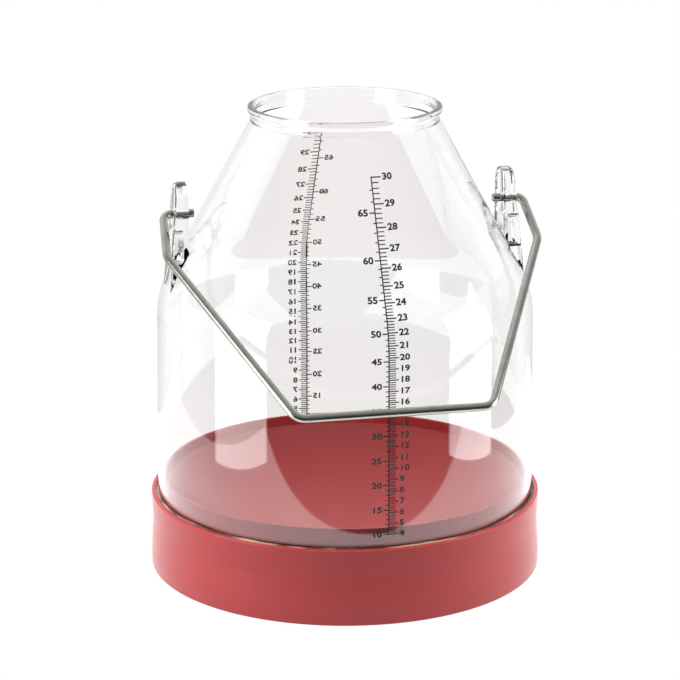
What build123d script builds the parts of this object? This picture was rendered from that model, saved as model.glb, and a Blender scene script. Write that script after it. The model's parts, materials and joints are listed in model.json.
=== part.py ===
from build123d import *
import math
import os

# A clear milk bucket of a bucket milking machine: one clear moulded vessel with two ears, glued
# into a red moulded base, with a bent rod bail and two printed contents scales.
# Lengths are in millimetres, +Z is up. The origin is the centre of the base's resting plane.
# The ears stand on +X and -X, the front scale faces -Y and the rear scale faces +Y.

# Clear vessel
HEIGHT = 445.0
WALL = 4.0
BODY_R = 180.2  # outer radius at the base's rim
BODY_TAPER = 0.01205  # radius lost per millimetre of height
SHOULDER_BEND = 81.9  # outer radius of the bend between body and cone
CONE_TOP_Z = 431.5  # the cone meets the collar here
CONE_SLOPE = 0.546  # radius lost per millimetre of height
COLLAR_R = 88.3
COLLAR_BEND = 6.0
MOUTH_R = 84.6
MOUTH_BEND = 3.0
BEAD_R = 90.8
BEAD_LOW_Z = 436.2  # the bead starts to swell out of the collar
BEAD_Z = 440.4  # the bead is full from here up
BEAD_BEND = 3.0
LIP_BEND = 1.8

# Red base
RIM_Z = 72.0
RIM_R = 186.5
RIM_IN_R = 182.1
WAIST_R = 185.4
WAIST_Z = 44.0
BASE_R = 187.4
BASE_BAND_H = 12.0  # straight band at the bottom of the skirt
SKIRT_IN_R = 182.0
SKIRT_BEND = 40.0
GROOVE_Z = 54.0  # the vessel's foot stands here
GROOVE_FLOOR_T = 4.0
UPSTAND_Z = 90.0
UPSTAND_R = 175.7
UPSTAND_T = 3.3
DISH_Z = 10.0  # middle of the dished floor
DISH_EDGE_Z = 81.5
DISH_T = 4.0
BASE_EDGE = 1.0

# Sealant between the vessel and the base's rim
SEALANT_LOW_Z = 60.0
SEALANT_TOP_Z = 73.5

# Ears
PIN_Z = 348.8
EAR_ABOVE_PIN = 29.6
EAR_IN_X = 151.4
EAR_OUT_X = 163.9  # outer face at the pin's height
EAR_LEAN = 0.0905  # how far the outer face comes out per millimetre downwards
EAR_TOP_W = 34.0
EAR_FOOT_W = 44.0
EAR_FOOT_Z = 262.0
EAR_CORNER = 16.5
EAR_EDGE = 1.5
POCKET_W = 20.0
POCKET_TOP = 14.0  # below the pin
POCKET_BOTTOM = 46.0  # below the pin
POCKET_WEB = 4.5
POCKET_CORNER = 9.0
POCKET_FOOT_CORNER = 4.0

# Bail
ROD_R = 4.0
BORE_GAP = 0.08
BAIL_TIP_X = 143.8
BAIL_EAR_X = 172.5
BAIL_KNEE_X = 176.4
BAIL_KNEE_DROP = 53.3
BAIL_GRIP_X = 89.0
BAIL_GRIP_DROP = 248.5
EAR_BEND = 9.0
KNEE_BEND = 25.0
GRIP_BEND = 14.0
TIP_CHAMFER = 0.8
REST_ANGLE = 55.3  # degrees forward of straight down, with the arms resting on the shoulder

# Contents scales, whole litres on one side of the line and every fifth pound on the other.
# The marks are spaced for a plain cylinder with a cone on top, a little simpler than the vessel.
PRINT_T = 0.1
LINE_W = 0.7
LITRE_TICK = 9.0
POUND_TICK = 6.0
LITRES = range(4, 31)
POUNDS = range(10, 70, 5)
LITRES_PER_POUND = 0.4475
POUND_ZERO = -0.45  # litres at the pound scale's zero
SCALE_LOW_Z = 43.0
SCALE_R = 175.5
SCALE_CONE_Z = 247.0
SCALE_SLOPE = 0.392
SLICE = 0.25  # height of the slices that the contents are summed in


def body_r(z, inset=0.0):
    """Radius of the body's surface at height z, moved inwards by inset."""
    return BODY_R - BODY_TAPER * (z - RIM_Z) - inset * math.hypot(1, BODY_TAPER)


def cone_r(z, inset=0.0):
    """Radius of the cone's surface at height z, moved inwards by inset."""
    return COLLAR_R + CONE_SLOPE * (CONE_TOP_Z - z) - inset * math.hypot(1, CONE_SLOPE)


def shoulder_point(inset=0.0):
    """Point where the body's line meets the cone's line, both moved inwards by inset."""
    gap = cone_r(0, inset) - body_r(0, inset)
    z = gap / (CONE_SLOPE - BODY_TAPER)
    return body_r(z, inset), z


def turned(corners):
    """Solid of revolution about Z, from closed corners of (radius, height, corner rounding)."""
    points = [(r, z) for r, z, _ in corners]
    radii = [bend for _, _, bend in corners]
    outline = FilletPolyline(*points, radius=radii, close=True)
    return revolve(Plane.XZ * make_face(outline), Axis.Z)


def vessel_shell():
    """Body, shoulder, cone, collar and rim bead as one turned wall."""
    outer_r, outer_z = shoulder_point()
    inner_r, inner_z = shoulder_point(WALL)
    collar_in_z = CONE_TOP_Z + (cone_r(CONE_TOP_Z, WALL) - MOUTH_R) / CONE_SLOPE
    return turned([
        (body_r(GROOVE_Z, WALL), GROOVE_Z, 0),
        (body_r(GROOVE_Z), GROOVE_Z, 0),
        (outer_r, outer_z, SHOULDER_BEND),
        (COLLAR_R, CONE_TOP_Z, COLLAR_BEND),
        (COLLAR_R, BEAD_LOW_Z, BEAD_BEND),
        (BEAD_R, BEAD_Z, BEAD_BEND),
        (BEAD_R, HEIGHT, LIP_BEND),
        (MOUTH_R, HEIGHT, LIP_BEND),
        (MOUTH_R, collar_in_z, MOUTH_BEND),
        (inner_r, inner_z, SHOULDER_BEND - WALL),
    ])


def cavity():
    """The space inside the vessel up to the shoulder, which the ears must not fill."""
    inner_r, inner_z = shoulder_point(WALL)
    return turned([
        (0, GROOVE_Z, 0),
        (body_r(GROOVE_Z, WALL), GROOVE_Z, 0),
        (inner_r, inner_z, SHOULDER_BEND - WALL),
        (cone_r(CONE_TOP_Z, WALL), CONE_TOP_Z, 0),
        (0, CONE_TOP_Z, 0),
    ])


def ear_outline():
    """The ear seen along X: a tapering tab with a round top."""
    top = PIN_Z + EAR_ABOVE_PIN
    foot, head = EAR_FOOT_W / 2, EAR_TOP_W / 2
    corners = [(-foot, EAR_FOOT_Z), (foot, EAR_FOOT_Z), (head, top), (-head, top)]
    outline = FilletPolyline(*corners, radius=[0, 0, EAR_CORNER, EAR_CORNER], close=True)
    return extrude(Plane.YZ * make_face(outline), HEIGHT)


def ear_side():
    """The ear seen along Y: upright inner face and outer face leaning out towards the foot."""
    top = PIN_Z + EAR_ABOVE_PIN
    top_x = EAR_OUT_X - EAR_LEAN * EAR_ABOVE_PIN
    foot_x = EAR_OUT_X + EAR_LEAN * (PIN_Z - EAR_FOOT_Z)
    outline = Polyline(
        (EAR_IN_X, EAR_FOOT_Z), (foot_x, EAR_FOOT_Z), (top_x, top), (EAR_IN_X, top), close=True
    )
    return extrude(Plane.XZ * make_face(outline), EAR_FOOT_W, both=True)


def ear_pocket():
    """Arched pocket that cores out the ear's outer face below the pin."""
    half = POCKET_W / 2
    low, high = PIN_Z - POCKET_BOTTOM, PIN_Z - POCKET_TOP
    corners = [(-half, low), (half, low), (half, high), (-half, high)]
    radii = [POCKET_FOOT_CORNER, POCKET_FOOT_CORNER, POCKET_CORNER, POCKET_CORNER]
    outline = FilletPolyline(*corners, radius=radii, close=True)
    start = Plane.YZ.offset(EAR_IN_X + POCKET_WEB)
    return extrude(start * make_face(outline), EAR_FOOT_W)


def ear():
    """One ear on the +X side, with its bore, pocket and rounded edges, reaching into the wall."""
    blank = ear_side() & ear_outline()
    rim = blank.edges().filter_by(lambda edge: edge.bounding_box().max.Z > PIN_Z)
    bore = Pos(EAR_IN_X, 0, PIN_Z) * Rot(0, 90, 0) * Cylinder(ROD_R + BORE_GAP, EAR_FOOT_W)
    return fillet(rim, EAR_EDGE) - ear_pocket() - bore


def vessel():
    """The clear moulding: turned wall with an ear on each side."""
    right = ear() - cavity()
    return vessel_shell() + right + mirror(right, Plane.YZ)


def base_ring():
    """Skirt, groove for the vessel's foot and the upstand inside the vessel."""
    upstand_in_r = UPSTAND_R - UPSTAND_T
    web_z = GROOVE_Z - GROOVE_FLOOR_T
    return turned([
        (SKIRT_IN_R, 0, BASE_EDGE),
        (BASE_R, 0, BASE_EDGE),
        (BASE_R, BASE_BAND_H, SKIRT_BEND),
        (WAIST_R, WAIST_Z, SKIRT_BEND),
        (RIM_R, RIM_Z, BASE_EDGE),
        (RIM_IN_R, RIM_Z, BASE_EDGE / 2),
        (RIM_IN_R, GROOVE_Z, 0),
        (UPSTAND_R, GROOVE_Z, 0),
        (UPSTAND_R, UPSTAND_Z, BASE_EDGE),
        (upstand_in_r, UPSTAND_Z, BASE_EDGE),
        (upstand_in_r, web_z, 0),
        (SKIRT_IN_R, web_z, BASE_EDGE),
    ])


def base_dish():
    """Dished floor, a shallow bowl of even depth that ends in the upstand's wall."""
    edge_r = UPSTAND_R - UPSTAND_T / 2
    top = TangentArc((0, DISH_Z), (edge_r, DISH_EDGE_Z), tangent=(1, 0))
    under = top.moved(Location((0, -DISH_T)))
    axis_side = Line(under @ 0, top @ 0)
    edge_side = Line(top @ 1, under @ 1)
    return revolve(Plane.XZ * make_face([top, edge_side, under, axis_side]), Axis.Z)


def base():
    """The red moulding: ring and dish in one."""
    return base_ring() + base_dish()


def sealant():
    """Ring of sealant between the vessel and the base's rim, with a sloping bead on top."""
    low = body_r(SEALANT_LOW_Z)
    high = body_r(SEALANT_TOP_Z)
    return turned([
        (low, SEALANT_LOW_Z, 0),
        (RIM_IN_R, SEALANT_LOW_Z, 0),
        (RIM_IN_R, RIM_Z - BASE_EDGE, 0),
        (high, SEALANT_TOP_Z, 0),
    ])


def bail():
    """Round rod bent to shape: a tip through each ear, an ear bend, a knee and a straight grip."""
    half = [
        (BAIL_TIP_X, 0),
        (BAIL_EAR_X, 0),
        (BAIL_KNEE_X, -BAIL_KNEE_DROP),
        (BAIL_GRIP_X, -BAIL_GRIP_DROP),
    ]
    points = [(-x, z) for x, z in half] + half[::-1]
    bends = [EAR_BEND, KNEE_BEND, GRIP_BEND]
    path = Plane.XZ * FilletPolyline(*points, radius=bends + bends[::-1])
    section = Plane(path @ 0, z_dir=path % 0) * Circle(ROD_R)
    rod = sweep(section, path=path)
    tips = rod.edges().filter_by(lambda edge: abs(abs(edge.center().X) - BAIL_TIP_X) < ROD_R / 2)
    rod = chamfer(tips, TIP_CHAMFER)
    return Pos(0, 0, PIN_Z) * Rot(-REST_ANGLE, 0, 0) * rod


def scale_heights(volumes):
    """Height of the mark for each rising volume in litres, by summing thin slices."""
    heights = []
    filled, z = 0.0, SCALE_LOW_Z
    for volume in volumes:
        while filled < volume:
            r = min(SCALE_R, SCALE_R - SCALE_SLOPE * (z - SCALE_CONE_Z))
            filled += math.pi * r**2 * SLICE / 1e6
            z += SLICE
        heights.append(z)
    return heights


def print_skin():
    """Film of ink thickness all round the vessel's outer face, from the rim to the collar."""
    corner_r, corner_z = shoulder_point()
    film_r, film_z = shoulder_point(-PRINT_T)
    return turned([
        (body_r(RIM_Z), RIM_Z, 0),
        (body_r(RIM_Z, -PRINT_T), RIM_Z, 0),
        (film_r, film_z, SHOULDER_BEND + PRINT_T),
        (cone_r(CONE_TOP_Z, -PRINT_T), CONE_TOP_Z, 0),
        (COLLAR_R, CONE_TOP_Z, 0),
        (corner_r, corner_z, SHOULDER_BEND),
    ])


def scale_comb():
    """The scale seen from the front: one line, litre ticks on its right and pound ticks on its left."""
    litres = scale_heights(LITRES)
    pounds = scale_heights([POUND_ZERO + count * LITRES_PER_POUND for count in POUNDS])
    low, high = litres[0], litres[-1]
    comb = Pos(0, (low + high) / 2) * Rectangle(LINE_W, high - low + LINE_W)
    for z in litres:
        comb += Pos(LITRE_TICK / 2, z) * Rectangle(LITRE_TICK, LINE_W)
    for z in pounds:
        comb += Pos(-POUND_TICK / 2, z) * Rectangle(POUND_TICK, LINE_W)
    return comb


def front_scale():
    """Printed scale on the vessel's -Y side."""
    return extrude(Plane.XZ * scale_comb(), HEIGHT) & print_skin()


def main():
    front = front_scale()
    pieces = {
        "vessel": vessel(),
        "base": base(),
        "bail_handle": bail(),
        "foot_sealant": sealant(),
        "front_scale": front,
        "rear_scale": Rot(0, 0, 180) * front,
    }
    os.makedirs("parts", exist_ok=True)
    for name, piece in pieces.items():
        export_step(piece, f"parts/{name}.step")


main()
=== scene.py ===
import json
import math

import bpy
from bpy.props import FloatProperty, FloatVectorProperty, IntProperty, PointerProperty
from mathutils import Matrix, Vector


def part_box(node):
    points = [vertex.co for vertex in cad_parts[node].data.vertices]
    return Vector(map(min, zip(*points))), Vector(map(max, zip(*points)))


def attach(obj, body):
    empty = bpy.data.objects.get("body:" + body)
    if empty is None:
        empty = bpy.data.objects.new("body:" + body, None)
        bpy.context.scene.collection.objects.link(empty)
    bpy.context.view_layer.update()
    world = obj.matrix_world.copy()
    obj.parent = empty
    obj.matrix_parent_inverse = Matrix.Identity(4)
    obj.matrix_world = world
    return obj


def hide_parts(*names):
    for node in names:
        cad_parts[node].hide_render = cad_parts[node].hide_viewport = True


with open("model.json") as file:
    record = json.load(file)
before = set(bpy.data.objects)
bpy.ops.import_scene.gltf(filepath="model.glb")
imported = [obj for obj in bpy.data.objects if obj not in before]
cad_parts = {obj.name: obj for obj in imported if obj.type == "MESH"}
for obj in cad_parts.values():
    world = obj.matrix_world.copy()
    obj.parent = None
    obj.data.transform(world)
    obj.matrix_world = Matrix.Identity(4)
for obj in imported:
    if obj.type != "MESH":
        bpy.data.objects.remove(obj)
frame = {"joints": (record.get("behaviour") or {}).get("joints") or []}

bl_info = {
    "name": "Clear Milk Bucket",
    "version": (1, 0, 0),
    "blender": (4, 5, 0),
    "location": "3D View > Sidebar > Milk Bucket",
    "description": "Builds the finished pieces, materials and studio of a clear milk bucket around its frame",
    "category": "Object",
}

# Lengths are in metres, +Z is up, and the origin is the centre of the base's resting plane.
# The front scale faces -Y and the ears stand on +X and -X.
VESSEL_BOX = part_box("vessel")
BASE_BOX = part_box("base")
BAIL_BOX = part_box("bail_handle")
SEALANT_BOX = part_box("foot_sealant")
PIN_Z = frame["joints"][0]["pos_m"][2]
SEGMENTS = 256
ARC_STEP = math.radians(6)
MERGE = 1e-6


def rounded(corners, hold):
    """Closed outline of (radius, height) points through corners of (radius, height, bend).

    Each bend is an arc with a holding point before and after it, so that shading stays in the bend."""
    outline = []
    count = len(corners)
    for place, (r, z, bend) in enumerate(corners):
        here = Vector((r, z))
        before = Vector(corners[place - 1][:2])
        after = Vector(corners[(place + 1) % count][:2])
        if bend:
            outline += arc_corner(before, here, after, bend, hold)
        else:
            outline.append(here)
    return outline


def arc_corner(before, here, after, bend, hold):
    """Points of the arc of radius bend that rounds the corner here, with a holding point at each end."""
    back, on = (before - here).normalized(), (after - here).normalized()
    half = back.angle(on) / 2
    reach = bend / math.tan(half)
    centre = here + (back + on).normalized() * bend / math.sin(half)
    spoke = back * reach + here - centre
    sweep = math.copysign(math.pi - 2 * half, on.cross(back))
    steps = max(3, math.ceil(abs(sweep) / ARC_STEP))
    turns = [Matrix.Rotation(sweep * step / steps, 2) for step in range(steps + 1)]
    arc = [centre + turn @ spoke for turn in turns]
    return [here + back * (reach + hold)] + arc + [here + on * (reach + hold)]


def deselect_all():
    """Leaves nothing selected."""
    bpy.ops.object.select_all(action="DESELECT")


def make_active(piece):
    """Selects only this piece."""
    deselect_all()
    piece.select_set(True)
    bpy.context.view_layer.objects.active = piece


def lone_vertex(name, place):
    """New piece, in edit mode, that holds one selected vertex."""
    deselect_all()
    bpy.ops.mesh.primitive_plane_add(size=1)
    piece = bpy.context.object
    piece.name = piece.data.name = name
    bpy.ops.object.mode_set(mode="EDIT")
    bpy.ops.mesh.merge(type="CENTER")
    bpy.ops.transform.translate(value=place)
    return piece


def lathe(name, outline, closed=True):
    """Turned piece: an outline of (radius, height) drawn by extruding a vertex, then spun about Z."""
    points = [Vector((r, 0, z)) for r, z in outline]
    if closed:
        points.append(points[0])
    piece = lone_vertex(name, points[0])
    for start, end in zip(points, points[1:]):
        bpy.ops.mesh.extrude_vertices_move(TRANSFORM_OT_translate={"value": end - start})
    bpy.ops.mesh.select_all(action="SELECT")
    bpy.ops.mesh.remove_doubles(threshold=MERGE)
    bpy.ops.mesh.spin(steps=SEGMENTS, angle=math.tau, center=(0, 0, 0), axis=(0, 0, 1))
    bpy.ops.mesh.select_all(action="SELECT")
    bpy.ops.mesh.remove_doubles(threshold=MERGE)
    bpy.ops.mesh.normals_make_consistent(inside=False)
    bpy.ops.object.mode_set(mode="OBJECT")
    return piece


def smooth(piece, angle=35):
    """Smooth shading that keeps edges sharper than angle, in degrees."""
    make_active(piece)
    bpy.ops.object.shade_smooth_by_angle(angle=math.radians(angle))


def apply_modifier(piece, kind, **settings):
    """Adds a modifier with these settings and applies it."""
    make_active(piece)
    bpy.ops.object.modifier_add(type=kind)
    modifier = piece.modifiers[-1]
    for key, value in settings.items():
        setattr(modifier, key, value)
    bpy.ops.object.modifier_apply(modifier=modifier.name)


def combine(piece, tool, operation):
    """Joins or cuts the piece with the tool, which is used up."""
    apply_modifier(piece, "BOOLEAN", operation=operation, object=tool, solver="EXACT")
    bpy.data.objects.remove(tool)


def select_where(piece, wanted):
    """In edit mode, selects the vertices whose place passes the test, with the edges and faces between."""
    bpy.ops.mesh.select_mode(type="VERT")
    bpy.ops.mesh.select_all(action="DESELECT")
    bpy.ops.object.mode_set(mode="OBJECT")
    for vertex in piece.data.vertices:
        vertex.select = wanted(vertex.co)
    bpy.ops.object.mode_set(mode="EDIT")


def block(name, low, high):
    """Box from one corner to the other, with its place in its mesh."""
    deselect_all()
    low, high = Vector(low), Vector(high)
    bpy.ops.mesh.primitive_cube_add(size=1, location=(low + high) / 2)
    piece = bpy.context.object
    piece.name = piece.data.name = name
    piece.scale = high - low
    bpy.ops.object.transform_apply(location=True, rotation=True, scale=True)
    return piece


def finish_piece(piece, material, body, node):
    """Gives the piece its material, ties it to its body, and hides the frame node that it stands for."""
    piece.data.materials.clear()
    piece.data.materials.append(material)
    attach(piece, body)
    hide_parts(node)


# ---------------------------------------------------------------- materials

FLOW_WAVES = 9  # noise scales are in features per metre
FLOW_STRETCH = (1, 1, 0.4)  # the waves run up the wall
RED_REFRACTION = 1.5
RED_MOTTLING = 16
RED_SCUFFS = 60
RED_SINK = 14
RED_SINK_DEPTH = 0.0003
GLOSS_SPREAD = 0.1  # part of the roughness that it varies by, up and down
ROD_POLISH = 60
DRAW_LINES = 700
DRAW_STRETCH = (0.06, 1, 1)  # the draw lines run along X
DRAW_DEPTH = 0.00003
ROD_ROUGHNESS = (0.12, 0.3)
SMEARS = 14
SMEAR_EDGE = (0.5, 0.6)  # noise values between which thin sealant turns thick
SEALANT_CLEARNESS = (0.95, 0.35)  # where it is thin, and where it is thick
SEALANT_ROUGHNESS = 0.3
SEALANT_REFRACTION = 1.42
SEALANT_SKIN = 260
SEALANT_SKIN_DEPTH = 0.0004
INK_WEAR = 350
INK_WEAR_EDGE = (0.5, 0.75)  # noise values between which the ink turns thin
INK_ROUGHNESS = 0.45
INK_DEPTH = 0.00002


def new_material(name):
    """Material with only a Principled shader, and its node tree, shader and Object coordinates."""
    material = bpy.data.materials.new(name)
    material.use_nodes = True
    tree = material.node_tree
    shader = tree.nodes["Principled BSDF"]
    place = tree.nodes.new("ShaderNodeTexCoord").outputs["Object"]
    return material, tree, shader, place


def noise(tree, place, scale, detail=3.0, roughness=0.5, stretch=(1, 1, 1)):
    """Noise of the given scale over the piece, stretched where asked; returns its value output."""
    mapping = tree.nodes.new("ShaderNodeMapping")
    mapping.inputs["Scale"].default_value = stretch
    tree.links.new(place, mapping.inputs["Vector"])
    texture = tree.nodes.new("ShaderNodeTexNoise")
    texture.inputs["Scale"].default_value = scale
    texture.inputs["Detail"].default_value = detail
    texture.inputs["Roughness"].default_value = roughness
    tree.links.new(mapping.outputs["Vector"], texture.inputs["Vector"])
    return texture.outputs["Fac"]


def ramp(tree, value, low, high, from_low=0.3, from_high=0.7):
    """Maps a noise value onto the range from low to high."""
    node = tree.nodes.new("ShaderNodeMapRange")
    node.inputs["From Min"].default_value = from_low
    node.inputs["From Max"].default_value = from_high
    node.inputs["To Min"].default_value = low
    node.inputs["To Max"].default_value = high
    tree.links.new(value, node.inputs["Value"])
    return node.outputs["Result"]


def mixed_colour(tree, value, first, second):
    """Colour between first and second, by value."""
    node = tree.nodes.new("ShaderNodeMix")
    node.data_type = "RGBA"
    node.inputs["A"].default_value = (*first, 1)
    node.inputs["B"].default_value = (*second, 1)
    tree.links.new(value, node.inputs["Factor"])
    return node.outputs["Result"]


def maths(tree, operation, first, second):
    """Result of a Math node on two values, each an output or a number."""
    node = tree.nodes.new("ShaderNodeMath")
    node.operation = operation
    for socket, value in zip(node.inputs, (first, second)):
        if isinstance(value, float):
            socket.default_value = value
        else:
            tree.links.new(value, socket)
    return node.outputs[0]


def bumped(tree, shader, heights):
    """Adds bumps to the shader, one after the other, from (height value, depth in metres)."""
    below = None
    for value, depth in heights:
        bump = tree.nodes.new("ShaderNodeBump")
        bump.inputs["Distance"].default_value = depth
        tree.links.new(value, bump.inputs["Height"])
        if below:
            tree.links.new(below, bump.inputs["Normal"])
        below = bump.outputs["Normal"]
    tree.links.new(below, shader.inputs["Normal"])


def clear_plastic(settings):
    """Clear moulded plastic with faint flow waves."""
    material, tree, shader, place = new_material("clear_moulded_plastic")
    shader.inputs["Base Color"].default_value = (*settings.tint, 1)
    shader.inputs["IOR"].default_value = settings.refraction
    shader.inputs["Transmission Weight"].default_value = 1.0
    shader.inputs["Roughness"].default_value = 0.0
    waves = noise(tree, place, FLOW_WAVES, detail=1, stretch=FLOW_STRETCH)
    bumped(tree, shader, [(waves, settings.waviness)])
    return material


def red_plastic(settings):
    """Moulded red plastic: satin skin with slight mottling and shallow sink marks."""
    material, tree, shader, place = new_material("red_moulded_plastic")
    mottle = noise(tree, place, RED_MOTTLING, detail=2)
    colour = mixed_colour(tree, mottle, settings.colour, settings.shade)
    tree.links.new(colour, shader.inputs["Base Color"])
    shader.inputs["IOR"].default_value = RED_REFRACTION
    scuffs = noise(tree, place, RED_SCUFFS, detail=4)
    low, high = settings.roughness * (1 - GLOSS_SPREAD), settings.roughness * (1 + GLOSS_SPREAD)
    gloss = ramp(tree, scuffs, low, high, 0.0, 1.0)
    tree.links.new(gloss, shader.inputs["Roughness"])
    sink = noise(tree, place, RED_SINK, detail=1)
    bumped(tree, shader, [(sink, RED_SINK_DEPTH)])
    return material


def stainless_rod(settings):
    """Drawn stainless rod: fine draw lines and a slightly uneven polish."""
    material, tree, shader, place = new_material("drawn_stainless_rod")
    polish = noise(tree, place, ROD_POLISH, detail=4)
    colour = mixed_colour(tree, ramp(tree, polish, 0, 1), settings.steel, settings.steel_shade)
    tree.links.new(colour, shader.inputs["Base Color"])
    shader.inputs["Metallic"].default_value = 1.0
    lines = noise(tree, place, DRAW_LINES, detail=4, roughness=0.6, stretch=DRAW_STRETCH)
    tree.links.new(ramp(tree, lines, *ROD_ROUGHNESS), shader.inputs["Roughness"])
    bumped(tree, shader, [(lines, DRAW_DEPTH)])
    return material


def cured_sealant(settings):
    """Cured sealant: clear where it is thin, yellowish and cloudy where it was smeared thick."""
    material, tree, shader, place = new_material("cured_sealant")
    smears = noise(tree, place, SMEARS, detail=3)
    thick = ramp(tree, smears, 0, 1, *SMEAR_EDGE)
    colour = mixed_colour(tree, thick, settings.sealant_thin, settings.sealant)
    tree.links.new(colour, shader.inputs["Base Color"])
    tree.links.new(ramp(tree, thick, *SEALANT_CLEARNESS, 0, 1), shader.inputs["Transmission Weight"])
    shader.inputs["Roughness"].default_value = SEALANT_ROUGHNESS
    shader.inputs["IOR"].default_value = SEALANT_REFRACTION
    skin = noise(tree, place, SEALANT_SKIN, detail=3)
    bumped(tree, shader, [(skin, SEALANT_SKIN_DEPTH)])
    return material


def printed_ink(settings):
    """Screen-printed black ink, thin in places."""
    material, tree, shader, place = new_material("printed_ink")
    wear = noise(tree, place, INK_WEAR, detail=4)
    worn = ramp(tree, wear, 0, 1, *INK_WEAR_EDGE)
    colour = mixed_colour(tree, worn, settings.ink, settings.ink_worn)
    tree.links.new(colour, shader.inputs["Base Color"])
    shader.inputs["Roughness"].default_value = INK_ROUGHNESS
    bumped(tree, shader, [(wear, INK_DEPTH)])
    return material


# ---------------------------------------------------------------- settings


class VesselSettings(bpy.types.PropertyGroup):
    """Sizes and clear plastic of the vessel."""

    wall: FloatProperty(name="Wall", description="Thickness of the wall", default=0.004, unit="LENGTH")
    foot_z: FloatProperty(
        name="Foot", description="Height of the foot in the base's groove",
        default=VESSEL_BOX[0].z, unit="LENGTH"
    )
    height: FloatProperty(name="Height", description="Height of the rim",
                          default=VESSEL_BOX[1].z, unit="LENGTH")
    body_r: FloatProperty(
        name="Body radius", description="Outer radius at the foot", default=VESSEL_BOX[1].y, unit="LENGTH"
    )
    body_taper: FloatProperty(name="Body taper", description="Radius lost per metre of height",
                              default=0.01205)
    shoulder: FloatProperty(
        name="Shoulder bend", description="Outer radius of the shoulder's bend",
        default=0.0819, unit="LENGTH"
    )
    cone_top_z: FloatProperty(
        name="Cone top", description="Height where the cone meets the collar", default=0.4315, unit="LENGTH"
    )
    cone_slope: FloatProperty(name="Cone slope", description="Radius lost per metre of height",
                              default=0.546)
    mouth_r: FloatProperty(name="Mouth radius", description="Inner radius of the mouth", default=0.0846,
                           unit="LENGTH")
    collar_r: FloatProperty(name="Collar radius", description="Outer radius of the collar", default=0.0883,
                            unit="LENGTH")
    bead_r: FloatProperty(name="Bead radius", description="Outer radius of the rim's bead", default=0.0908,
                          unit="LENGTH")
    tint: FloatVectorProperty(name="Tint", description="Colour of the clear plastic",
                              default=(0.99, 0.995, 0.99), subtype="COLOR")
    refraction: FloatProperty(name="Refraction", description="Index of refraction", default=1.58)
    waviness: FloatProperty(name="Waviness", description="Depth of the flow waves",
                            default=0.0002, unit="LENGTH")


class BaseSettings(bpy.types.PropertyGroup):
    """Sizes and red plastic of the base."""

    radius: FloatProperty(name="Radius", description="Radius at the floor",
                          default=BASE_BOX[1].x, unit="LENGTH")
    dish_z: FloatProperty(name="Dish height", description="Height of the dish's middle", default=0.010,
                          unit="LENGTH")
    dish_edge_z: FloatProperty(name="Dish edge", description="Height of the dish's edge", default=0.0815,
                               unit="LENGTH")
    dish_t: FloatProperty(name="Dish thickness", description="Thickness of the dish", default=0.004,
                          unit="LENGTH")
    colour: FloatVectorProperty(name="Red", description="Main colour", default=(0.56, 0.043, 0.046),
                                subtype="COLOR")
    shade: FloatVectorProperty(name="Deep red", description="Mottled colour", default=(0.52, 0.039, 0.042),
                               subtype="COLOR")
    roughness: FloatProperty(name="Roughness", description="Roughness of the satin skin", default=0.3)


class BailSettings(bpy.types.PropertyGroup):
    """Sizes and steel of the bail."""

    rod_r: FloatProperty(name="Rod radius", description="Radius of the rod", default=0.004,
                         unit="LENGTH")
    steel: FloatVectorProperty(name="Steel", description="Colour of the steel", default=(0.44, 0.45, 0.41),
                               subtype="COLOR")
    steel_shade: FloatVectorProperty(name="Dull steel", description="Colour of duller places",
                                     default=(0.36, 0.37, 0.34), subtype="COLOR")


class SealantSettings(bpy.types.PropertyGroup):
    """Shape and colour of the sealant between vessel and base."""

    uneven: FloatProperty(name="Unevenness", description="How far the smeared top wanders", default=0.004,
                          unit="LENGTH")
    sealant: FloatVectorProperty(name="Thick sealant", description="Colour where it is thick",
                                 default=(0.72, 0.60, 0.38), subtype="COLOR")
    sealant_thin: FloatVectorProperty(name="Thin sealant", description="Colour where it is thin",
                                      default=(0.85, 0.72, 0.66), subtype="COLOR")


class ScaleSettings(bpy.types.PropertyGroup):
    """Marks, numerals and ink of the contents scales."""

    first_litre: IntProperty(name="First litre", description="Lowest litre mark", default=4)
    last_litre: IntProperty(name="Last litre", description="Highest litre mark", default=30)
    ink: FloatVectorProperty(name="Ink", description="Colour of the ink", default=(0.012, 0.012, 0.014),
                             subtype="COLOR")
    ink_worn: FloatVectorProperty(name="Worn ink", description="Colour where the ink is thin",
                                  default=(0.05, 0.05, 0.055), subtype="COLOR")


class StudioSettings(bpy.types.PropertyGroup):
    """Camera, table and lights."""

    azimuth: FloatProperty(name="Azimuth", description="Camera's turn about Z", default=math.radians(12.73),
                           subtype="ANGLE")
    elevation: FloatProperty(name="Elevation", description="Camera's height angle",
                             default=math.radians(16.23), subtype="ANGLE")
    distance: FloatProperty(name="Distance", description="Camera's distance", default=2.5588, unit="LENGTH")
    lens: FloatProperty(name="Lens", description="Focal length in millimetres", default=141.93)
    panel: FloatProperty(name="Panels", description="Brightness of the two tall panels", default=3.0)


# ---------------------------------------------------------------- vessel

HOLD = 0.0002  # distance of a holding point from its bend
COLLAR_BEND = 0.006
MOUTH_BEND = 0.003
BEAD_LOW_DROP = 0.0088  # below the rim, where the bead starts to swell out of the collar
BEAD_DROP = 0.0046  # below the rim, where the bead is full
BEAD_BEND = 0.003
LIP_BEND = 0.0018

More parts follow.
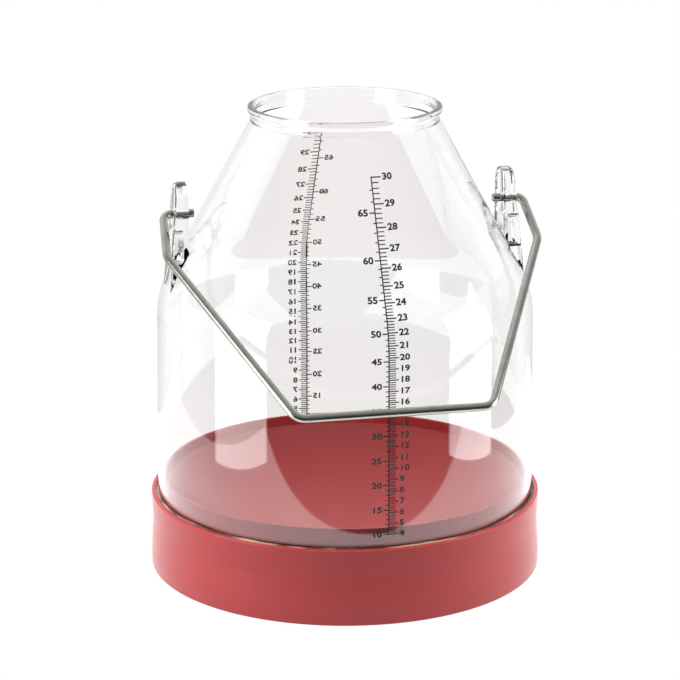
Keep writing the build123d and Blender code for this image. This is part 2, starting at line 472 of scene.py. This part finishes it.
EAR_ABOVE_PIN = 0.0296
EAR_IN_X = 0.1514
EAR_OUT_X = 0.1639  # outer face at the pin's height
EAR_LEAN = 0.0905  # how far the outer face comes out per metre downwards
EAR_TOP_W = 0.034
EAR_FOOT_W = 0.044
EAR_FOOT_Z = 0.262
EAR_CORNER = 0.0155
EAR_EDGE = 0.0015
POCKET_W = 0.020
POCKET_TOP = 0.014  # below the pin
POCKET_BOTTOM = 0.046  # below the pin
POCKET_WEB = 0.0045
POCKET_CORNER = 0.0088
POCKET_FOOT_CORNER = 0.004
BORE_R = 0.00408
BORE_SIDES = 48
CORNER_STEPS = 12  # faces round each of the ear's top corners
EDGE_STEPS = 4
POCKET_STEPS = 8


def body_r(sizes, z, inset=0.0):
    """Radius of the body's surface at height z, moved inwards by inset."""
    at_foot = sizes.body_r - sizes.body_taper * (z - sizes.foot_z)
    return at_foot - inset * math.hypot(1, sizes.body_taper)


def cone_r(sizes, z, inset=0.0):
    """Radius of the cone's surface at height z, moved inwards by inset."""
    at_top = sizes.collar_r + sizes.cone_slope * (sizes.cone_top_z - z)
    return at_top - inset * math.hypot(1, sizes.cone_slope)


def shoulder_corner(sizes, inset=0.0):
    """Corner of (radius, height, bend) where the body's line meets the cone's, both moved inwards."""
    gap = cone_r(sizes, 0, inset) - body_r(sizes, 0, inset)
    z = gap / (sizes.cone_slope - sizes.body_taper)
    return body_r(sizes, z, inset), z, sizes.shoulder - inset


def vessel_outline(sizes):
    """Outline of the turned wall: body, shoulder, cone, collar and bead."""
    inner_top_r = cone_r(sizes, sizes.cone_top_z, sizes.wall)
    collar_in_z = sizes.cone_top_z + (inner_top_r - sizes.mouth_r) / sizes.cone_slope
    foot, rim = sizes.foot_z, sizes.height
    return rounded([
        (body_r(sizes, foot, sizes.wall), foot, 0),
        (body_r(sizes, foot), foot, 0),
        shoulder_corner(sizes),
        (sizes.collar_r, sizes.cone_top_z, COLLAR_BEND),
        (sizes.collar_r, rim - BEAD_LOW_DROP, BEAD_BEND),
        (sizes.bead_r, rim - BEAD_DROP, BEAD_BEND),
        (sizes.bead_r, rim, LIP_BEND),
        (sizes.mouth_r, rim, LIP_BEND),
        (sizes.mouth_r, collar_in_z, MOUTH_BEND),
        shoulder_corner(sizes, sizes.wall),
    ], HOLD)


def wall_core(sizes):
    """Solid that fills the vessel out to the middle of its wall, to trim the ears with."""
    middle = sizes.wall / 2
    foot, top = sizes.foot_z, sizes.cone_top_z
    return lathe("wall_core", rounded([
        (0, foot, 0),
        (body_r(sizes, foot, middle), foot, 0),
        shoulder_corner(sizes, middle),
        (cone_r(sizes, top, middle), top, 0),
        (0, top, 0),
    ], HOLD), closed=False)


def ear_blank():
    """The ear before it is cored: a tapering tab with a round top and an outer face that leans out."""
    top = PIN_Z + EAR_ABOVE_PIN
    half = EAR_FOOT_W / 2
    top_x = EAR_OUT_X - EAR_LEAN * EAR_ABOVE_PIN
    foot_x = EAR_OUT_X + EAR_LEAN * (PIN_Z - EAR_FOOT_Z)
    piece = block("ear", (EAR_IN_X, -half, EAR_FOOT_Z), (foot_x, half, top))
    bpy.ops.object.mode_set(mode="EDIT")
    select_where(piece, lambda co: co.z > PIN_Z)
    bpy.ops.transform.resize(value=(1, EAR_TOP_W / EAR_FOOT_W, 1), center_override=(0, 0, top))
    select_where(piece, lambda co: co.z > PIN_Z and co.x > EAR_IN_X + MERGE)
    bpy.ops.transform.translate(value=(top_x - foot_x, 0, 0))
    for side in (-1, 1):
        select_where(piece, lambda co: co.z > PIN_Z and co.y * side > EAR_TOP_W / 2 - MERGE)
        bpy.ops.mesh.bevel(offset=EAR_CORNER, segments=CORNER_STEPS, affect="EDGES")
    select_outer_rim(piece)
    bpy.ops.mesh.bevel(offset=EAR_EDGE, segments=EDGE_STEPS, affect="EDGES")
    bpy.ops.object.mode_set(mode="OBJECT")
    return piece


def select_outer_rim(piece):
    """In edit mode, selects the edge loop round the ear's outer face, apart from its foot."""
    bpy.ops.mesh.select_mode(type="EDGE")
    bpy.ops.mesh.select_all(action="DESELECT")
    bpy.ops.object.mode_set(mode="OBJECT")
    mesh = piece.data
    for edge in mesh.edges:
        ends = [mesh.vertices[index].co for index in edge.vertices]
        on_face = all(co.x > EAR_OUT_X + EAR_LEAN * (PIN_Z - co.z) - MERGE for co in ends)
        edge.select = on_face and max(co.z for co in ends) > PIN_Z - EAR_ABOVE_PIN
    bpy.ops.object.mode_set(mode="EDIT")


def pocket_cutter():
    """Arched cutter that cores out the ear's outer face below the pin."""
    half = POCKET_W / 2
    low = (EAR_IN_X + POCKET_WEB, -half, PIN_Z - POCKET_BOTTOM)
    high = (EAR_IN_X + EAR_FOOT_W, half, PIN_Z - POCKET_TOP)
    piece = block("pocket", low, high)
    bpy.ops.object.mode_set(mode="EDIT")
    for bend, test in ((POCKET_CORNER, lambda co: co.z > high[2] - MERGE),
                       (POCKET_FOOT_CORNER, lambda co: co.z < low[2] + MERGE)):
        for side in (-1, 1):
            select_where(piece, lambda co: test(co) and co.y * side > half - MERGE)
            bpy.ops.mesh.bevel(offset=bend, segments=POCKET_STEPS, affect="EDGES")
    bpy.ops.object.mode_set(mode="OBJECT")
    return piece


def bore_cutter():
    """Cylinder for the bail's hole through the ear."""
    deselect_all()
    bpy.ops.mesh.primitive_cylinder_add(
        vertices=BORE_SIDES, radius=BORE_R, depth=EAR_FOOT_W,
        location=(EAR_OUT_X, 0, PIN_Z), rotation=(0, math.pi / 2, 0)
    )
    piece = bpy.context.object
    bpy.ops.object.transform_apply(location=True, rotation=True, scale=True)
    return piece


def finished_ear(sizes):
    """One ear on the +X side, trimmed to the middle of the wall."""
    ear = ear_blank()
    combine(ear, pocket_cutter(), "DIFFERENCE")
    combine(ear, bore_cutter(), "DIFFERENCE")
    combine(ear, wall_core(sizes), "DIFFERENCE")
    return ear


def mirrored_copy(piece):
    """Copy of the piece on the other side of the YZ plane, with its own mesh and its faces outwards."""
    make_active(piece)
    bpy.ops.object.duplicate(linked=False)
    twin = bpy.context.object
    bpy.ops.object.mode_set(mode="EDIT")
    bpy.ops.mesh.select_all(action="SELECT")
    bpy.ops.transform.resize(value=(-1, 1, 1), center_override=(0, 0, 0))
    bpy.ops.mesh.normals_make_consistent(inside=False)
    bpy.ops.object.mode_set(mode="OBJECT")
    return twin


class BUCKET_OT_vessel(bpy.types.Operator):
    """Turn the clear vessel and join its two ears"""

    bl_idname = "bucket.vessel"
    bl_label = "Clear Vessel"

    def execute(self, context):
        sizes = context.scene.bucket_vessel
        vessel = lathe("clear_vessel", vessel_outline(sizes))
        ear = finished_ear(sizes)
        twin = mirrored_copy(ear)
        combine(vessel, ear, "UNION")
        combine(vessel, twin, "UNION")
        smooth(vessel)
        finish_piece(vessel, clear_plastic(sizes), "bucket", "vessel")
        return {"FINISHED"}


# ---------------------------------------------------------------- base

RIM_Z = 0.072
RIM_R = 0.1865
RIM_IN_R = 0.1821
WAIST_R = 0.1854
WAIST_Z = 0.044
BASE_BAND_H = 0.012
SKIRT_IN_R = 0.182
SKIRT_BEND = 0.040
GROOVE_FLOOR_T = 0.004
UPSTAND_Z = 0.090
UPSTAND_R = 0.1757
UPSTAND_T = 0.0033
BASE_EDGE = 0.001
DISH_STEPS = 24


def dish_height(sizes, r):
    """Height of the dish's top at radius r, on an arc that is level in the middle."""
    edge_r = UPSTAND_R - UPSTAND_T / 2
    rise = sizes.dish_edge_z - sizes.dish_z
    bowl_r = (edge_r**2 + rise**2) / (2 * rise)
    return sizes.dish_z + bowl_r - math.sqrt(bowl_r**2 - r**2)


def dish_arc(sizes, drop):
    """Points of the dish from the middle to the upstand's inner face, lowered by drop."""
    edge = UPSTAND_R - UPSTAND_T
    radii = [edge * step / DISH_STEPS for step in range(DISH_STEPS + 1)]
    return [Vector((r, dish_height(sizes, r) - drop)) for r in radii]


def base_outline(sizes):
    """Half outline of the base, from the dish's middle round the ring and back under the dish."""
    edge = UPSTAND_R - UPSTAND_T
    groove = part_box("vessel")[0].z
    web = groove - GROOVE_FLOOR_T
    top, under = dish_arc(sizes, 0), dish_arc(sizes, sizes.dish_t)
    ring = rounded([
        (edge, under[-1].y, 0),
        (edge, top[-1].y, 0),
        (edge, UPSTAND_Z, BASE_EDGE),
        (UPSTAND_R, UPSTAND_Z, BASE_EDGE),
        (UPSTAND_R, groove, 0),
        (RIM_IN_R, groove, 0),
        (RIM_IN_R, RIM_Z, BASE_EDGE / 2),
        (RIM_R, RIM_Z, BASE_EDGE),
        (WAIST_R, WAIST_Z, SKIRT_BEND),
        (sizes.radius, BASE_BAND_H, SKIRT_BEND),
        (sizes.radius, 0, BASE_EDGE),
        (SKIRT_IN_R, 0, BASE_EDGE),
        (SKIRT_IN_R, web, BASE_EDGE),
        (edge, web, 0),
    ], HOLD)
    return top[:-1] + ring[1:] + under[::-1]


class BUCKET_OT_base(bpy.types.Operator):
    """Turn the red base with its dished floor"""

    bl_idname = "bucket.base"
    bl_label = "Red Base"

    def execute(self, context):
        sizes = context.scene.bucket_base
        base = lathe("red_base", base_outline(sizes), closed=False)
        smooth(base)
        finish_piece(base, red_plastic(sizes), "bucket", "base")
        return {"FINISHED"}


# ---------------------------------------------------------------- sealant

SMEAR_SIZE = 0.03  # size of the smears along the bead
SMEAR_REST = 0.52  # the texture value that leaves the top where it is
SMEAR_DEPTH = 3
SMEAR_SMOOTH = 80  # degrees


def smear_top(bead, settings):
    """Lets the bead's top edge wander up and down the wall, as a hand-smeared bead does."""
    make_active(bead)
    top = bead.vertex_groups.new(name="top")
    rim = SEALANT_BOX[1].z - BASE_EDGE
    top.add([vertex.index for vertex in bead.data.vertices if vertex.co.z > rim], 1.0, "REPLACE")
    clouds = bpy.data.textures.new("smears", "CLOUDS")
    clouds.noise_scale = SMEAR_SIZE
    clouds.noise_depth = SMEAR_DEPTH
    apply_modifier(bead, "DISPLACE", texture=clouds, texture_coords="LOCAL", direction="Z",
                   strength=settings.uneven, mid_level=SMEAR_REST, vertex_group=top.name)


class BUCKET_OT_sealant(bpy.types.Operator):
    """Lay the uneven bead of sealant between vessel and base"""

    bl_idname = "bucket.sealant"
    bl_label = "Sealant Bead"

    def execute(self, context):
        vessel = context.scene.bucket_vessel
        low, high = SEALANT_BOX[0].z, SEALANT_BOX[1].z
        outline = rounded([
            (body_r(vessel, low), low, 0),
            (RIM_IN_R, low, 0),
            (RIM_IN_R, RIM_Z - BASE_EDGE, BASE_EDGE / 2),
            (body_r(vessel, high), high, BASE_EDGE / 2),
        ], HOLD / 2)
        bead = lathe("sealant_bead", outline)
        smear_top(bead, context.scene.bucket_sealant)
        smooth(bead, SMEAR_SMOOTH)
        finish_piece(bead, cured_sealant(context.scene.bucket_sealant), "bucket", "foot_sealant")
        return {"FINISHED"}


# ---------------------------------------------------------------- bail

TIP_X = 0.1438
BAIL_EAR_X = 0.1725
KNEE = (0.1764, 0.0533)  # distance from the middle, and below the pin
GRIP = (0.0890, 0.2485)  # distance from the middle, and below the pin
BAIL_BENDS = (0.009, 0.025, 0.014)
TIP_CHAMFER = 0.0008
TIP_STEPS = 3
REST_ANGLE = math.radians(55.3)  # forward of straight down
ROD_SIDES = 40
BEND_STEPS = 14


def bail_corners():
    """Corners of the bail's middle line with their bends, from one tip to the other."""
    turns = [(TIP_X, 0), (BAIL_EAR_X, 0), KNEE, GRIP]
    half = [Vector((x, 0, -drop)) for x, drop in turns]
    bends = [0, *BAIL_BENDS]
    other = [Vector((-point.x, 0, point.z)) for point in reversed(half)]
    return list(zip(half + other, bends + bends[::-1]))


def sweep_rod(corners, lift):
    """Rod along the corners: a ring extruded along each straight and spun round each bend."""
    start = corners[0][0]
    bpy.ops.object.mode_set(mode="EDIT")
    bpy.ops.mesh.select_all(action="SELECT")
    here = start
    for (before, _), (corner, bend), (after, _) in zip(corners, corners[1:], corners[2:]):
        back, on = (before - corner).normalized(), (after - corner).normalized()
        half = back.angle(on) / 2
        reach = bend / math.tan(half)
        arc_start = corner + back * reach
        bpy.ops.mesh.extrude_region_move(TRANSFORM_OT_translate={"value": arc_start - here})
        centre = corner + (back + on).normalized() * bend / math.sin(half)
        axis = back.cross(on).normalized()
        bpy.ops.mesh.spin(steps=BEND_STEPS, angle=math.pi - 2 * half, center=centre + lift, axis=axis)
        here = corner + on * reach
    bpy.ops.mesh.extrude_region_move(TRANSFORM_OT_translate={"value": corners[-1][0] - here})


class BUCKET_OT_bail(bpy.types.Operator):
    """Bend the bail's rod and hang it at rest"""

    bl_idname = "bucket.bail"
    bl_label = "Bail"

    def execute(self, context):
        sizes = context.scene.bucket_bail
        lift = Vector((0, 0, PIN_Z))
        corners = bail_corners()
        deselect_all()
        bpy.ops.mesh.primitive_circle_add(
            vertices=ROD_SIDES, radius=sizes.rod_r,
            location=corners[0][0] + lift, rotation=(0, math.pi / 2, 0)
        )
        bail = bpy.context.object
        bail.name = bail.data.name = "bail_rod"
        bpy.ops.object.transform_apply(location=True, rotation=True, scale=True)
        sweep_rod(corners, lift)
        bpy.ops.mesh.select_all(action="SELECT")
        bpy.ops.mesh.remove_doubles(threshold=MERGE)
        bpy.ops.mesh.fill_holes(sides=0)
        bpy.ops.mesh.normals_make_consistent(inside=False)
        select_where(bail, lambda co: abs(abs(co.x) - TIP_X) < MERGE)
        bpy.ops.mesh.bevel(offset=TIP_CHAMFER, segments=TIP_STEPS, affect="EDGES")
        bpy.ops.mesh.select_all(action="SELECT")
        bpy.ops.transform.rotate(value=REST_ANGLE, orient_axis="X", center_override=lift)
        bpy.ops.object.mode_set(mode="OBJECT")
        smooth(bail)
        finish_piece(bail, stainless_rod(sizes), "bail", "bail_handle")
        return {"FINISHED"}


# ---------------------------------------------------------------- scales

# The marks are spaced for a plain cylinder with a cone on top. They are not a measure of the vessel's
# own inside, which holds up to 0.7 litre less than they say.
LITRES_PER_CUBIC_METRE = 1000
LITRES_PER_POUND = 0.4475
POUND_ZERO = -0.45  # litres at the pound scale's zero
SCALE_LOW_Z = 0.043
SCALE_R = 0.1755
SCALE_CONE_Z = 0.247
SCALE_SLOPE = 0.392
SLICE = 0.00025  # height of the slices that the contents are summed in
POUNDS = range(10, 68)
POUND_STEP = 5  # pounds between numerals
LITRE_PARTS = 5  # ticks in each litre
LINE_W = 0.0011
FINE_LINE_W = 0.0009
LITRE_TICK = 0.009
FIFTH_TICK = 0.0064  # every 0.2 litres
FIVE_POUND_TICK = 0.0052
POUND_TICK = 0.0028
NUMERAL_SIZE = 0.0076
NUMERAL_WIDTH = 1.22  # numerals are set a little wide
NUMERAL_GAP = 0.0011
NUMERAL_BOLD = 0.0003
NUMERAL_SPACING = 1.02
NUMERAL_STEPS = 3
TICK_PARTS = 4  # faces along a tick, so that it can follow the wall
SPINE_PARTS = 160
INK_LIFT = 0.00003
INK_T = 0.00006
SHEET_Y = -0.19  # the flat scale is drawn here, in front of the wall
UPRIGHT = (math.pi / 2, 0, 0)  # turns a flat mark to stand up facing -Y


def scale_heights(volumes):
    """Height of the mark for each rising volume in litres, by summing thin slices."""
    heights = []
    filled, z = 0.0, SCALE_LOW_Z
    for volume in volumes:
        while filled < volume:
            r = min(SCALE_R, SCALE_R - SCALE_SLOPE * (z - SCALE_CONE_Z))
            filled += math.pi * r**2 * SLICE * LITRES_PER_CUBIC_METRE
            z += SLICE
        heights.append(z)
    return heights


def marks(name, heights, start_x, end_x, width):
    """Row of equal ticks at these heights: one is drawn and copied."""
    deselect_all()
    bpy.ops.mesh.primitive_grid_add(x_subdivisions=TICK_PARTS, y_subdivisions=1, size=1, rotation=UPRIGHT,
                                    location=((start_x + end_x) / 2, SHEET_Y, heights[0]))
    row = bpy.context.object
    row.name = row.data.name = name
    row.scale = (end_x - start_x, width, 1)
    bpy.ops.object.transform_apply(location=True, rotation=True, scale=True)
    bpy.ops.object.mode_set(mode="EDIT")
    bpy.ops.mesh.select_all(action="SELECT")
    for low, high in zip(heights, heights[1:]):
        bpy.ops.mesh.duplicate_move(TRANSFORM_OT_translate={"value": (0, 0, high - low)})
    bpy.ops.object.mode_set(mode="OBJECT")
    return row


def spine(low, high):
    """The scale's upright line."""
    deselect_all()
    bpy.ops.mesh.primitive_grid_add(x_subdivisions=1, y_subdivisions=SPINE_PARTS, size=1, rotation=UPRIGHT,
                                    location=(0, SHEET_Y, (low + high) / 2))
    line = bpy.context.object
    line.scale = (LINE_W, high - low + LINE_W, 1)
    bpy.ops.object.transform_apply(location=True, rotation=True, scale=True)
    return line


def numeral(value, x, z, side):
    """One number beside its tick, as a flat mesh that stands up."""
    deselect_all()
    bpy.ops.object.text_add(rotation=UPRIGHT, location=(x, SHEET_Y, z))
    text = bpy.context.object
    text.data.body = str(value)
    text.data.size = NUMERAL_SIZE
    text.data.align_x = side
    text.data.align_y = "CENTER"
    text.data.resolution_u = NUMERAL_STEPS
    text.data.offset = NUMERAL_BOLD
    text.data.space_character = NUMERAL_SPACING
    text.scale.x = NUMERAL_WIDTH
    bpy.ops.object.convert(target="MESH")
    bpy.ops.object.transform_apply(location=True, rotation=True, scale=True)
    return bpy.context.object


def joined(pieces, name):
    """The pieces as one object."""
    make_active(pieces[0])
    for piece in pieces[1:]:
        piece.select_set(True)
    bpy.ops.object.join()
    whole = bpy.context.object
    whole.name = whole.data.name = name
    return whole


def flat_scale(settings):
    """The whole scale drawn flat, in front of the wall."""
    first, last = settings.first_litre, settings.last_litre
    litres = range(first, last + 1)
    litre_z = scale_heights(litres)
    parts = range((last - first) * LITRE_PARTS)
    fifths = [first + count / LITRE_PARTS for count in parts if count % LITRE_PARTS]
    pound_z = dict(zip(POUNDS, scale_heights([POUND_ZERO + count * LITRES_PER_POUND for count in POUNDS])))
    numbered = {count: z for count, z in pound_z.items() if count % POUND_STEP == 0}
    between = [z for count, z in pound_z.items() if count % POUND_STEP]
    pieces = [
        spine(litre_z[0], litre_z[-1]),
        marks("litre_ticks", litre_z, 0, LITRE_TICK, LINE_W),
        marks("fifth_ticks", scale_heights(fifths), 0, FIFTH_TICK, FINE_LINE_W),
        marks("five_pound_ticks", list(numbered.values()), -FIVE_POUND_TICK, 0, LINE_W),
        marks("pound_ticks", between, -POUND_TICK, 0, FINE_LINE_W),
    ]
    for litre, z in zip(litres, litre_z):
        pieces.append(numeral(litre, LITRE_TICK + NUMERAL_GAP, z, "LEFT"))
    for count, z in numbered.items():
        pieces.append(numeral(count, -FIVE_POUND_TICK - NUMERAL_GAP, z, "RIGHT"))
    return joined(pieces, "front_contents_scale")


def wrap_on_wall(scale, sizes):
    """Presses the flat scale onto the vessel's outer face and gives the ink its thickness."""
    wall = lathe("print_face", vessel_outline(sizes))
    make_active(scale)
    bpy.ops.object.mode_set(mode="EDIT")
    bpy.ops.mesh.select_all(action="SELECT")
    bpy.ops.mesh.quads_convert_to_tris()
    bpy.ops.mesh.subdivide(number_cuts=1)
    bpy.ops.object.mode_set(mode="OBJECT")
    apply_modifier(scale, "SHRINKWRAP", target=wall, wrap_method="PROJECT", use_project_y=True,
                   use_positive_direction=True, offset=INK_LIFT)
    bpy.data.objects.remove(wall)
    apply_modifier(scale, "SOLIDIFY", thickness=INK_T, offset=1.0)


class BUCKET_OT_scales(bpy.types.Operator):
    """Print the two contents scales on the vessel"""

    bl_idname = "bucket.scales"
    bl_label = "Contents Scales"

    def execute(self, context):
        settings = context.scene.bucket_scale
        front = flat_scale(settings)
        wrap_on_wall(front, context.scene.bucket_vessel)
        make_active(front)
        bpy.ops.object.duplicate(linked=False)
        rear = bpy.context.object
        rear.name = rear.data.name = "rear_contents_scale"
        bpy.ops.object.mode_set(mode="EDIT")
        bpy.ops.mesh.select_all(action="SELECT")
        bpy.ops.transform.rotate(value=math.pi, orient_axis="Z", center_override=(0, 0, 0))
        bpy.ops.object.mode_set(mode="OBJECT")
        ink = printed_ink(settings)
        finish_piece(front, ink, "bucket", "front_scale")
        finish_piece(rear, ink, "bucket", "rear_scale")
        return {"FINISHED"}


# ---------------------------------------------------------------- studio

CAMERA_TARGET_Z = 0.2048
CAMERA_SHIFT = (-0.00718, 0.01803)
SENSOR_WIDTH = 36  # millimetres
CLIP = (0.01, 50)
TABLE_DROP = 0.0005  # the table's top is this far below the base's resting plane
TABLE_GLOW = 1.0
TABLE_MIRRORED = 1.6  # the glow as glossy surfaces mirror it
TABLE_BOUNCE = 0.15  # part of the glow that lights dull surfaces
TABLE_X = 0.65
TABLE_FRONT_Y = -0.43
TABLE_BACK_Y = 0.50
ROOM_DARK = 0.05
CEILING = 4.4  # as it lights dull surfaces
CEILING_EDGE = (0.65, 1.0)  # upward part of the direction where the ceiling starts and is full
CEILING_MIRRORED = 0.5  # as glossy surfaces mirror it
CEILING_MIRRORED_EDGE = (0.2, 0.9)
BACKDROP = 0.9
BACKDROP_EDGE = (0.0, 0.5)
PANEL_D = 0.58  # distance of each panel from the bucket's middle
PANEL_TOP = 0.51
# Each panel: direction it stands in from the middle, where it is centred along itself, and its width.
# Angles are measured from the camera's own direction, to its left and right.
PANELS = (
    (-67.0, 0.107, 0.338),
    (83.0, 0.123, 0.309),
)


def add_camera(settings):
    """Camera that looks down on the bucket from its front left."""
    a, e = settings.azimuth, settings.elevation
    away = Vector((-math.sin(a) * math.cos(e), -math.cos(a) * math.cos(e), math.sin(e)))
    deselect_all()
    bpy.ops.object.camera_add(
        location=Vector((0, 0, CAMERA_TARGET_Z)) + away * settings.distance,
        rotation=(math.pi / 2 - e, 0, -a)
    )
    camera = bpy.context.object
    camera.data.lens = settings.lens
    camera.data.sensor_width = SENSOR_WIDTH
    camera.data.shift_x, camera.data.shift_y = CAMERA_SHIFT
    camera.data.clip_start, camera.data.clip_end = CLIP
    bpy.context.scene.camera = camera


def add_table():
    """White table top that glows, so that it stays even and pale round the bucket."""
    deselect_all()
    middle = (TABLE_FRONT_Y + TABLE_BACK_Y) / 2
    bpy.ops.mesh.primitive_plane_add(size=1, location=(0, middle, -TABLE_DROP))
    table = bpy.context.object
    table.name = "table_top"
    table.scale = (2 * TABLE_X, TABLE_BACK_Y - TABLE_FRONT_Y, 1)
    bpy.ops.object.transform_apply(location=True, rotation=True, scale=True)
    material = bpy.data.materials.new("white_table")
    material.use_nodes = True
    shader = material.node_tree.nodes["Principled BSDF"]
    shader.inputs["Base Color"].default_value = (0, 0, 0, 1)
    shader.inputs["Roughness"].default_value = 1.0
    shader.inputs["Specular IOR Level"].default_value = 0.0
    shader.inputs["Emission Color"].default_value = (1, 1, 1, 1)
    tree = material.node_tree
    path = tree.nodes.new("ShaderNodeLightPath").outputs
    seen = ramp(tree, path["Glossy Depth"], TABLE_GLOW, TABLE_MIRRORED, 0.0, 1.0)
    dull = maths(tree, "MINIMUM", path["Diffuse Depth"], 1.0)
    bounce = maths(tree, "MULTIPLY", dull, TABLE_BOUNCE)
    glow = maths(tree, "ADD", bounce, maths(tree, "MULTIPLY", seen, maths(tree, "SUBTRACT", 1.0, dull)))
    tree.links.new(glow, shader.inputs["Emission Strength"])
    table.data.materials.append(material)


def add_panels(settings):
    """Two tall light panels beside the bucket, which show as upright reflections."""
    for number, (turn, along, width) in enumerate(PANELS):
        angle = math.radians(turn) - settings.azimuth
        out = Vector((math.sin(angle), -math.cos(angle), 0))
        side = Vector((math.cos(angle), math.sin(angle), 0))
        place = out * PANEL_D - side * along * math.copysign(1, turn)
        deselect_all()
        bpy.ops.object.light_add(
            type="AREA", location=(place.x, place.y, PANEL_TOP / 2), rotation=(math.pi / 2, 0, angle)
        )
        lamp = bpy.context.object
        lamp.name = f"panel_{number}"
        lamp.data.shape = "RECTANGLE"
        lamp.data.size, lamp.data.size_y = width, PANEL_TOP
        lamp.data.energy = settings.panel * math.pi * width * PANEL_TOP
        lamp.visible_camera = False


def add_world():
    """White room where it is seen directly or through the vessel.

    It lights and mirrors as a dark room with a pale ceiling and backdrop."""
    world = bpy.data.worlds.new("studio")
    bpy.context.scene.world = world
    world.use_nodes = True
    tree = world.node_tree
    tree.nodes.clear()
    output = tree.nodes.new("ShaderNodeOutputWorld")
    path = tree.nodes.new("ShaderNodeLightPath").outputs
    split = tree.nodes.new("ShaderNodeSeparateXYZ")
    tree.links.new(tree.nodes.new("ShaderNodeTexCoord").outputs["Generated"], split.inputs["Vector"])
    lit = ramp(tree, split.outputs["Z"], ROOM_DARK, CEILING, *CEILING_EDGE)
    mirrored = ramp(tree, split.outputs["Z"], ROOM_DARK, CEILING_MIRRORED, *CEILING_MIRRORED_EDGE)
    dull = maths(tree, "MINIMUM", path["Diffuse Depth"], 1.0)
    ceiling = maths(tree, "ADD", maths(tree, "MULTIPLY", lit, dull),
                    maths(tree, "MULTIPLY", mirrored, maths(tree, "SUBTRACT", 1.0, dull)))
    backdrop = ramp(tree, split.outputs["Y"], 0.0, BACKDROP, *BACKDROP_EDGE)
    room = maths(tree, "ADD", ceiling, backdrop)
    bounced = maths(tree, "ADD", path["Glossy Depth"], path["Diffuse Depth"])
    white, dim = (tree.nodes.new("ShaderNodeBackground") for _ in range(2))
    for background in (white, dim):
        background.inputs["Color"].default_value = (1, 1, 1, 1)
    tree.links.new(room, dim.inputs["Strength"])
    mix = tree.nodes.new("ShaderNodeMixShader")
    tree.links.new(maths(tree, "GREATER_THAN", bounced, 0.5), mix.inputs["Fac"])
    tree.links.new(white.outputs[0], mix.inputs[1])
    tree.links.new(dim.outputs[0], mix.inputs[2])
    tree.links.new(mix.outputs[0], output.inputs["Surface"])


class BUCKET_OT_studio(bpy.types.Operator):
    """Set up the camera, table, light panels and room"""

    bl_idname = "bucket.studio"
    bl_label = "Studio"

    def execute(self, context):
        settings = context.scene.bucket_studio
        add_camera(settings)
        add_table()
        add_panels(settings)
        add_world()
        context.scene.view_settings.view_transform = "Standard"
        return {"FINISHED"}


# ---------------------------------------------------------------- add-on

OPERATORS = (
    BUCKET_OT_vessel,
    BUCKET_OT_base,
    BUCKET_OT_sealant,
    BUCKET_OT_bail,
    BUCKET_OT_scales,
    BUCKET_OT_studio,
)
SETTINGS = {
    "bucket_vessel": VesselSettings,
    "bucket_base": BaseSettings,
    "bucket_bail": BailSettings,
    "bucket_sealant": SealantSettings,
    "bucket_scale": ScaleSettings,
    "bucket_studio": StudioSettings,
}


class BUCKET_PT_panel(bpy.types.Panel):
    """Lists the bucket's pieces and their settings"""

    bl_label = "Milk Bucket"
    bl_idname = "BUCKET_PT_panel"
    bl_space_type = "VIEW_3D"
    bl_region_type = "UI"
    bl_category = "Milk Bucket"

    def draw(self, context):
        for operator in OPERATORS:
            self.layout.operator(operator.bl_idname)
        for name, group in SETTINGS.items():
            box = self.layout.box()
            for key in group.__annotations__:
                box.prop(getattr(context.scene, name), key)


def register():
    for group in SETTINGS.values():
        bpy.utils.register_class(group)
    for operator in (*OPERATORS, BUCKET_PT_panel):
        bpy.utils.register_class(operator)
    for name, group in SETTINGS.items():
        setattr(bpy.types.Scene, name, PointerProperty(type=group))


def unregister():
    for name in SETTINGS:
        delattr(bpy.types.Scene, name)
    for operator in (BUCKET_PT_panel, *reversed(OPERATORS)):
        bpy.utils.unregister_class(operator)
    for group in SETTINGS.values():
        bpy.utils.unregister_class(group)


def main():
    """Builds every piece and the stage."""
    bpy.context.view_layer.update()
    register()
    bpy.ops.bucket.studio()
    bpy.ops.bucket.base()
    bpy.ops.bucket.sealant()
    bpy.ops.bucket.vessel()
    bpy.ops.bucket.scales()
    bpy.ops.bucket.bail()


if __name__ == "__main__":
    main()
